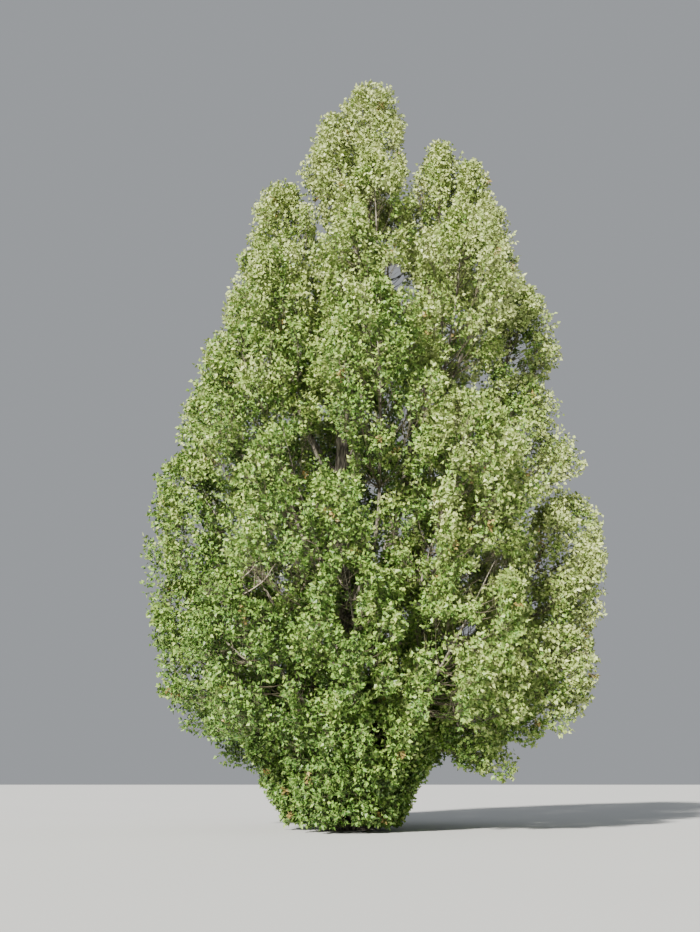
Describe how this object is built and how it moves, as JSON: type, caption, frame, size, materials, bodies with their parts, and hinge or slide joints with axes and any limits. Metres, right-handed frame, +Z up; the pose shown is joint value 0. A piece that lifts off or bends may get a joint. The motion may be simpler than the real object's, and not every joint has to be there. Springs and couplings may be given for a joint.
{
  "type": "lombardy poplar tree",
  "caption": "Broad flame-shaped poplar in summer leaf, with a tapering trunk, a second leader, steep boughs and upright masses of foliage down to a bushy foot.",
  "frame": {"origin": "middle of the flat cut under the trunk, at ground level", "axes": "+Z up the trunk, +X to the right and +Y to the back for someone who looks at the tree from the road"},
  "size_m": [16.5191, 15.3464, 30.1],
  "materials": {
    "bark": "rough furrowed bark",
    "leaves": "matt to satin leaves"
  },
  "bodies": {
    "root": {"bough_lower_1": "bark", "bough_lower_2": "bark", "bough_lower_3": "bark", "bough_lower_4": "bark", "bough_lower_5": "bark", "bough_lower_6": "bark", "bough_middle_1": "bark", "bough_middle_2": "bark", "bough_middle_3": "bark", "bough_skirt_1": "bark", "bough_skirt_10": "bark", "bough_skirt_3": "bark", "bough_skirt_4": "bark", "bough_skirt_5": "bark", "bough_skirt_6": "bark", "bough_skirt_7": "bark", "bough_skirt_8": "bark", "foliage_base_1": "leaves", "foliage_base_2": "leaves", "foliage_base_3": "leaves", "foliage_base_4": "leaves", "foliage_crown_top": "leaves", "foliage_leader_top": "leaves", "foliage_lower_1": "leaves", "foliage_lower_2": "leaves", "foliage_lower_3": "leaves", "foliage_lower_4": "leaves", "foliage_lower_5": "leaves", "foliage_lower_6": "leaves", "foliage_middle_1": "leaves", "foliage_middle_2": "leaves", "foliage_middle_3": "leaves", "foliage_middle_4": "leaves", "foliage_middle_5": "leaves", "foliage_middle_6": "leaves", "foliage_skirt_1": "leaves", "foliage_skirt_10": "leaves", "foliage_skirt_2": "leaves", "foliage_skirt_3": "leaves", "foliage_skirt_4": "leaves", "foliage_skirt_5": "leaves", "foliage_skirt_6": "leaves", "foliage_skirt_7": "leaves", "foliage_skirt_8": "leaves", "foliage_skirt_9": "leaves", "foliage_top_1": "leaves", "foliage_top_2": "leaves", "foliage_top_3": "leaves", "foliage_top_4": "leaves", "foliage_top_5": "leaves", "foliage_top_6": "leaves", "foliage_upper_1": "leaves", "foliage_upper_2": "leaves", "foliage_upper_3": "leaves", "foliage_upper_4": "leaves", "foliage_upper_5": "leaves", "foliage_upper_6": "leaves", "foliage_upper_7": "leaves", "leader_right": "bark", "trunk": "bark"}
  },
  "joints": []
}
